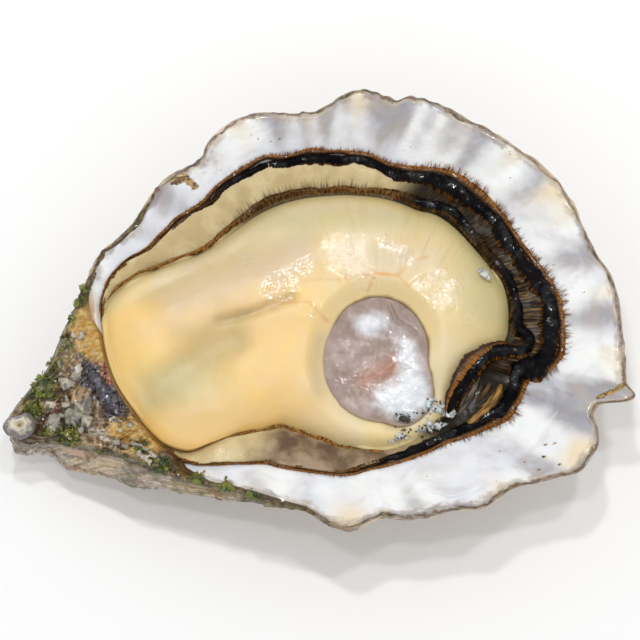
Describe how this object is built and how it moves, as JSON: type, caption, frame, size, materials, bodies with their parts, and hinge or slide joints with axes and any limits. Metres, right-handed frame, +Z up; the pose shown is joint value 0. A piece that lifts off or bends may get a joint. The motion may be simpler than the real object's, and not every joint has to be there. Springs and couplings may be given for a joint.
{
  "type": "oyster on the half shell",
  "caption": "Opened oyster lying in its cupped shell: plump wet meat with a cut muscle and dark frilled margins in a white fluted cup.",
  "frame": {"origin": "middle of the footprint, on the surface that the shell rests on", "axes": "+X from the hinge towards the broad lip, +Y across the cup, +Z up out of the cup"},
  "size_m": [0.1066, 0.0746, 0.0244],
  "materials": {
    "shell": "wet pearly white inside, chalky layered outside",
    "meat": "wet creamy flesh",
    "muscle": "wet, translucent grey and milky white",
    "mantle": "wet translucent flesh",
    "margin": "wet black and brown frill",
    "flap": "wet brown edge",
    "ligament": "torn, dull blue-grey",
    "crust": "rough, chalky and weed-stained"
  },
  "bodies": {
    "root": {"shell": "shell", "body": "meat", "adductor_muscle": "muscle", "lower_mantle": "mantle", "upper_mantle_margin": "margin", "mantle_flap": "flap", "ligament": "ligament", "barnacle": "crust", "nodule_1": "crust", "nodule_2": "crust"}
  },
  "joints": []
}
